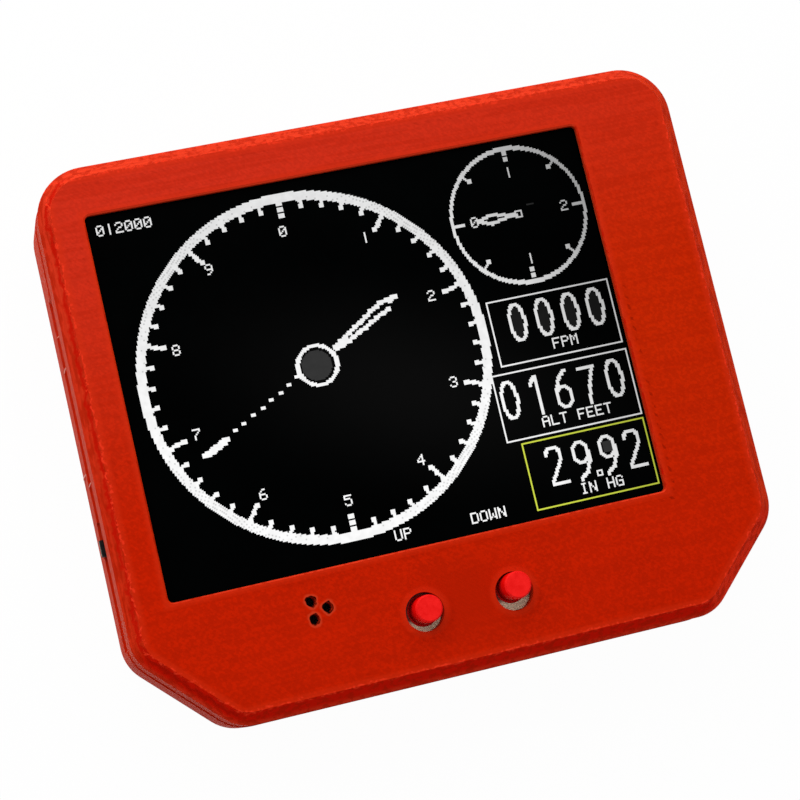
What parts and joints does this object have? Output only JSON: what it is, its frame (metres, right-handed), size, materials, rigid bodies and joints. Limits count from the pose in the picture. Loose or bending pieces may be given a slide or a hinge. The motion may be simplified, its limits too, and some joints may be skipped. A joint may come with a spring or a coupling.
{
  "type": "portable altimeter",
  "caption": "Pocket altimeter: a colour screen with dial and readouts, push buttons and a slide switch in a flat two-shell case.",
  "frame": {"origin": "centre of the flat back of the case, which it rests on", "axes": "+X to the right of the screen, +Y to the top of the screen, +Z out of the face"},
  "size_m": [0.0862, 0.0738, 0.0204],
  "materials": {
    "red_print": "satin printed plastic",
    "red_plunger": "smooth moulded",
    "black_plastic": "fine matte",
    "tinned_steel": "tinned sheet",
    "screen_film": "glossy dark film",
    "screen_glass": "clear",
    "white_frame": "moulded",
    "light_guide": "clear moulded",
    "dark_foam": "closed-cell foam",
    "flex_film": "amber film",
    "board_green": "solder mask",
    "shield_metal": "satin",
    "capacitor": "matte",
    "connector_white": "moulded",
    "battery_foil": "foil pouch",
    "red_wire": "smooth",
    "black_wire": "smooth",
    "screw_steel": "dark zinc",
    "insert_brass": "knurled"
  },
  "bodies": {
    "case": {"front_case": "red_print", "rear_case": "red_print", "up_switch_base": "black_plastic", "down_switch_base": "black_plastic", "power_switch_base": "black_plastic", "charge_socket_tongue": "black_plastic", "sounder": "black_plastic", "power_chips": "black_plastic", "screen_driver_chip": "black_plastic", "up_switch_plate": "tinned_steel", "down_switch_plate": "tinned_steel", "switch_legs": "tinned_steel", "power_switch_shell": "tinned_steel", "power_switch_pins": "tinned_steel", "charge_socket_shell": "tinned_steel", "pressure_sensor": "tinned_steel", "screen_polariser": "screen_film", "screen_front_glass": "screen_glass", "screen_rear_glass": "screen_glass", "backlight_frame": "white_frame", "light_guide": "light_guide", "screen_gasket": "dark_foam", "screen_pad": "dark_foam", "battery_pad": "dark_foam", "screen_flex": "flex_film", "main_board": "board_green", "processor_module": "board_green", "processor_shield": "shield_metal", "chip_capacitors": "capacitor", "battery_socket": "connector_white", "battery_plug": "connector_white", "battery_cell": "battery_foil", "red_lead": "red_wire", "black_lead": "black_wire", "case_screws": "screw_steel", "screw_inserts": "insert_brass"},
    "up_button": {"up_plunger": "red_plunger", "up_switch_dome": "tinned_steel"},
    "down_button": {"down_plunger": "red_plunger", "down_switch_dome": "tinned_steel"},
    "power_lever": {"power_switch_lever": "black_plastic"}
  },
  "joints": [
    {"name": "up_button_press", "type": "slide", "parent": "case", "child": "up_button", "axis": [0, 0, -1], "range_m": [0, 0.00025], "stiffness_N_per_m": 4000, "deforming": ["up_switch_dome"]},
    {"name": "down_button_press", "type": "slide", "parent": "case", "child": "down_button", "axis": [0, 0, -1], "range_m": [0, 0.00025], "stiffness_N_per_m": 4000, "deforming": ["down_switch_dome"]},
    {"name": "power_slide", "type": "slide", "parent": "case", "child": "power_lever", "axis": [0, 1, 0], "range_m": [0, 0.0022]}
  ]
}
